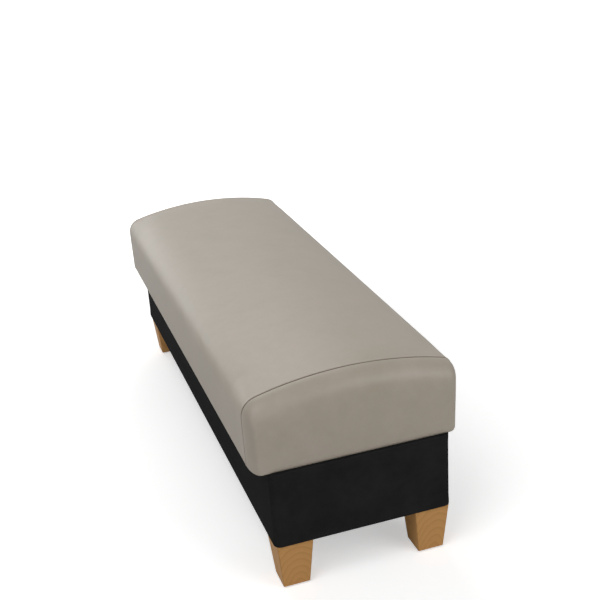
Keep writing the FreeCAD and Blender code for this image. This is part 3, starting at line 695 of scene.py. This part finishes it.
# The seams come after the swelling. Each is a groove where the panels meet, with a low ridge on the
# long panel's side, over the seam allowance that lies under it.
SEAM_ZONE = 0.020
SEAM_HALF_WIDTH = 0.006
SEAM_STEPS = (0.0007, 0.0018, 0.0035, 0.0055)
GROOVE_DEPTH = 0.0016
GROOVE_SPREAD = 0.0008
RIDGE_HEIGHT = 0.0008
RIDGE_SPREAD = 0.0016
RIDGE_OFF = 0.0030
shape = bmesh.new()
shape.from_mesh(seat_cushion.data)
for side in (-1, 1):
    for off in (0.0, *SEAM_STEPS, *[-step for step in SEAM_STEPS]):
        near_seam = [f for f in shape.faces
                     if abs(abs(f.calc_center_median().x) - SEAM_AT) < SEAM_ZONE]
        cut_at(shape, (side * (SEAM_AT + off), 0, 0), (1, 0, 0), near_seam)
shape.normal_update()
sewn = []
for vert in shape.verts:
    off = abs(vert.co.x) - SEAM_AT
    if abs(off) < SEAM_HALF_WIDTH and vert.co.z > SEAT_LOW + HELD_UP:
        groove = -GROOVE_DEPTH * math.exp(-(off / GROOVE_SPREAD) ** 2)
        ridge = RIDGE_HEIGHT * math.exp(-((off + RIDGE_OFF) / RIDGE_SPREAD) ** 2)
        sewn.append((vert, vert.normal.copy() * (groove + ridge)))
for vert, move in sewn:
    vert.co += move


def underside(shape):
    """The flat faces that lie on the box."""
    return [f for f in shape.faces if f.normal.z < -0.95 and f.calc_center_median().z < SEAT_LOW + 0.001]


# The cover stops in a margin round the seat board, so the board is bare in the middle.
for side in (-1, 1):
    cut_at(shape, (side * OPENING_X, 0, 0), (1, 0, 0), underside(shape))
    cut_at(shape, (0, side * OPENING_Y, 0), (0, 1, 0), underside(shape))
hole = [f for f in underside(shape)
        if abs(f.calc_center_median().x) < OPENING_X and abs(f.calc_center_median().y) < OPENING_Y]
raised = bmesh.ops.extrude_face_region(shape, geom=hole)["geom"]
bmesh.ops.delete(shape, geom=hole, context="FACES")
bmesh.ops.translate(shape, vec=(0, 0, VINYL + BOARD_GAP),
                    verts=[g for g in raised if isinstance(g, bmesh.types.BMVert)])
shape.to_mesh(seat_cushion.data)
shape.free()
seat_cushion.data.shade_smooth()
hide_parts("seat_top_cover", "seat_end_cover_left", "seat_end_cover_right",
            "seat_wadding", "seat_foam_crown", "seat_foam_slab")
taupe = satin_vinyl("taupe_vinyl", (0.356, 0.315, 0.252), (0.398, 0.348, 0.293),
                    0.40, 0.48, 1000.0, 0.40)
tree = taupe.node_tree
place = add_node(tree, "ShaderNodeTexCoord").outputs["Object"]
along = add_node(tree, "ShaderNodeSeparateXYZ", {0: place})
from_middle = add_node(tree, "ShaderNodeMath", {0: along.outputs[0]}, operation="ABSOLUTE")
from_seam = add_node(tree, "ShaderNodeMath", {0: from_middle.outputs[0], 1: SEAM_AT}, operation="SUBTRACT")
from_seam = add_node(tree, "ShaderNodeMath", {0: from_seam.outputs[0]}, operation="ABSOLUTE")
seam_groove_shade = add_mask(tree, from_seam.outputs[0], 0.0016, 0.0007, 0.95)
# Painted shade: the seam's groove is darkened in the colour, fully over the top and to a quarter of that
# down the sides.
shade_over_top = add_node(tree, "ShaderNodeMapRange",
                  {"Value": along.outputs[2], "From Min": 0.375, "From Max": 0.415, "To Min": 0.25})
seam_shade = add_node(tree, "ShaderNodeMath", {0: seam_groove_shade, 1: shade_over_top.outputs[0]}, operation="MULTIPLY")
shader = tree.nodes["Principled BSDF"]
plain = shader.inputs["Base Color"].links[0].from_socket
# Painted shade: the vinyl's colour is multiplied darker along the seam line.
seam_shaded = add_node(tree, "ShaderNodeMix", {"Factor": seam_shade.outputs[0]},
                  data_type="RGBA", blend_type="MULTIPLY")
tree.links.new(plain, seam_shaded.inputs[6])
seam_shaded.inputs[7].default_value = (0.22, 0.18, 0.15, 1.0)
tree.links.new(seam_shaded.outputs[2], shader.inputs["Base Color"])
put_on(taupe, seat_cushion)


# Dust cover. A sheet of thin black non-woven cloth closes the underside. It is notched round the
# legs, stapled along its edges, and hangs down a little between them.
CLOTH_LENGTH = 1.310
CLOTH_WIDTH = 0.369
CLOTH_Z = BASE_LOW - 0.0004
CLOTH_SAG = 0.0035
CLOTH_EDGE = 0.015
CLOTH_THICK = 0.0005
NOTCH_ROOM = 0.042
NOTCH_X = LEG_AXIS_X - NOTCH_ROOM
NOTCH_Y = LEG_AXIS_Y - NOTCH_ROOM
shape = bmesh.new()
bmesh.ops.create_grid(shape, x_segments=60, y_segments=18, size=0.5)
bmesh.ops.scale(shape, vec=(CLOTH_LENGTH, CLOTH_WIDTH, 1), verts=shape.verts)
for side in (-1, 1):
    cut_at(shape, (side * NOTCH_X, 0, 0), (1, 0, 0))
    cut_at(shape, (0, side * NOTCH_Y, 0), (0, 1, 0))
notches = [f for f in shape.faces if abs(f.calc_center_median().x) > NOTCH_X
           and abs(f.calc_center_median().y) > NOTCH_Y]
bmesh.ops.delete(shape, geom=notches, context="FACES")
for vert in shape.verts:
    from_end = max(0.0, 1 - (abs(vert.co.x) / (CLOTH_LENGTH / 2 - CLOTH_EDGE)) ** 4)
    from_side = max(0.0, 1 - (abs(vert.co.y) / (CLOTH_WIDTH / 2 - CLOTH_EDGE)) ** 2)
    ripple = 1 + 0.25 * math.sin(vert.co.x * 31.0) * math.sin(vert.co.y * 17.0 + 1.0)
    vert.co.z = CLOTH_Z - CLOTH_SAG * from_end * from_side * ripple
dust_cloth = new_piece("dust_cloth", shape)
skin = dust_cloth.modifiers.new("skin", "SOLIDIFY")
skin.thickness = CLOTH_THICK
skin.offset = 0.0
settle(dust_cloth)
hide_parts("dust_cover")
finish, tree, shader, place = new_finish("black_non_woven", 0.9)
fuzz = add_node(tree, "ShaderNodeTexNoise",
                {"Vector": place, "Scale": 900.0, "Detail": 4.0, "Distortion": 2.0})
tint = add_ramp(tree, fuzz.outputs["Fac"], [(0.35, (0.010, 0.010, 0.010)), (0.7, (0.030, 0.030, 0.031))])
tree.links.new(tint.outputs["Color"], shader.inputs["Base Color"])
bump = add_node(tree, "ShaderNodeBump",
                {"Height": fuzz.outputs["Fac"], "Strength": 0.5, "Distance": 0.0005})
tree.links.new(bump.outputs["Normal"], shader.inputs["Normal"])
put_on(finish, dust_cloth)

# Staples. Fine zinc-plated wire staples hold the dust cover to the rails. They are driven by hand
# in a row a little way in from the cloth's edge, so they wander and lean.
STAPLE_LENGTH = 0.0115
WIRE = 0.0009
STAPLE_SUNK = 0.0003
STAPLE_PITCH = 0.0465
STAPLE_END_PITCH = 0.045
STAPLE_ROW_X = CLOTH_LENGTH / 2 - 0.009
STAPLE_ROW_Y = CLOTH_WIDTH / 2 - 0.009
places = []
for step in range(-12, 13):
    wander = 0.004 * math.sin(step * 2.3)
    places.append((step * STAPLE_PITCH + wander, STAPLE_ROW_Y, 0.05 * math.sin(step * 1.7)))
    places.append((step * STAPLE_PITCH - wander, -STAPLE_ROW_Y, 0.05 * math.cos(step * 1.3)))
for step in range(-2, 3):
    lean = math.pi / 2 + 0.06 * math.sin(step * 2.9)
    places.append((STAPLE_ROW_X, step * STAPLE_END_PITCH + 0.002, lean))
    places.append((-STAPLE_ROW_X, step * STAPLE_END_PITCH - 0.003, lean - 0.05))
shape = bmesh.new()
for x, y, lean in places:
    made = bmesh.ops.create_cube(shape, size=1.0)["verts"]
    bmesh.ops.scale(shape, vec=(STAPLE_LENGTH, WIRE * 1.3, WIRE), verts=made)
    bmesh.ops.rotate(shape, cent=(0, 0, 0), matrix=Matrix.Rotation(lean, 3, "Z"), verts=made)
    bmesh.ops.translate(shape, vec=(x, y, CLOTH_Z - STAPLE_SUNK - WIRE / 2), verts=made)
bmesh.ops.bevel(shape, geom=shape.edges[:], offset=0.0003, offset_type="OFFSET", segments=1,
                profile=0.5, affect="EDGES", material=-1)
cloth_staples = new_piece("cloth_staples", shape)
put_on(zinc_steel, cloth_staples)


# Lights, floor and camera. A white floor and surround, one large soft lamp above the near front
# corner, one above the far end, and two weaker low ones that fill the near end and lay a sheen
# on the vinyl from the far front corner.
LAMP_WIDTH = 2.0
LAMP_AIM = Vector((0, 0, 0.3))


def soft_lamp(name, place, watts):
    """A square soft lamp that points at the middle of the bench."""
    lamp = bpy.data.lights.new(name, "AREA")
    lamp.shape = "SQUARE"
    lamp.size = LAMP_WIDTH
    lamp.energy = watts
    holder = bpy.data.objects.new(name, lamp)
    bpy.context.collection.objects.link(holder)
    holder.location = place
    holder.rotation_euler = (LAMP_AIM - Vector(place)).to_track_quat("-Z", "Y").to_euler()


soft_lamp("near_lamp", (1.64, -1.64, 3.06), 48)
soft_lamp("far_lamp", (-2.31, 0.0, 3.06), 40)
soft_lamp("low_lamp", (2.83, 1.63, 1.82), 33)
soft_lamp("sheen_lamp", (-3.31, -1.20, 1.05), 27)

world = bpy.data.worlds.new("studio")
bpy.context.scene.world = world
world.use_nodes = True
tree = world.node_tree
back = tree.nodes["Background"]
rays = add_node(tree, "ShaderNodeLightPath")
seen = add_node(tree, "ShaderNodeMath",
                {0: rays.outputs["Is Camera Ray"], 1: rays.outputs["Is Glossy Ray"]}, operation="MAXIMUM")
seen = add_node(tree, "ShaderNodeMath", {0: seen.outputs[0], 1: rays.outputs["Is Transmission Ray"]},
                operation="MAXIMUM")
level = add_node(tree, "ShaderNodeMapRange", {"Value": seen.outputs[0], "To Min": 0.13, "To Max": 1.0})
tree.links.new(level.outputs["Result"], back.inputs["Strength"])
back.inputs["Color"].default_value = (1, 1, 1, 1)

shape = bmesh.new()
bmesh.ops.create_grid(shape, x_segments=1, y_segments=1, size=30.0)
floor = new_object("floor", shape)
finish, tree, shader, place = new_finish("white_floor", 0.9)
shader.inputs["Base Color"].default_value = (0.9, 0.9, 0.9, 1)
shader.inputs["Emission Color"].default_value = (1, 1, 1, 1)
rays = add_node(tree, "ShaderNodeLightPath")
away = add_node(tree, "ShaderNodeVectorMath", {0: place}, operation="LENGTH")
glow = add_node(tree, "ShaderNodeMapRange",
                {"Value": away.outputs["Value"], "From Min": 0.9, "From Max": 3.0, "To Min": 0.45})
glow = add_node(tree, "ShaderNodeMath", {0: glow.outputs[0], 1: rays.outputs["Is Camera Ray"]},
                operation="MULTIPLY")
tree.links.new(glow.outputs[0], shader.inputs["Emission Strength"])
put_on(finish, floor)

lens = bpy.data.cameras.new("camera")
lens.sensor_width = 36.0
lens.lens = 62.81
lens.clip_end = 100.0
camera = bpy.data.objects.new("camera", lens)
bpy.context.collection.objects.link(camera)
CAMERA_PLACE = (2.38785, -0.63983, 1.40396)
around = math.radians(72.88)
above = math.radians(22.76)
roll = math.radians(-3.91)
backward = Vector((math.sin(around) * math.cos(above),
                   -math.cos(around) * math.cos(above),
                   math.sin(above)))
right = (-backward).cross(Vector((0, 0, 1))).normalized()
up = right.cross(-backward)
tilted_right = math.cos(roll) * right + math.sin(roll) * up
tilted_up = -math.sin(roll) * right + math.cos(roll) * up
turn = Matrix((tilted_right, tilted_up, backward)).transposed()
camera.matrix_world = Matrix.Translation(CAMERA_PLACE) @ turn.to_4x4()
bpy.context.scene.camera = camera
bpy.context.scene.view_settings.view_transform = "Standard"
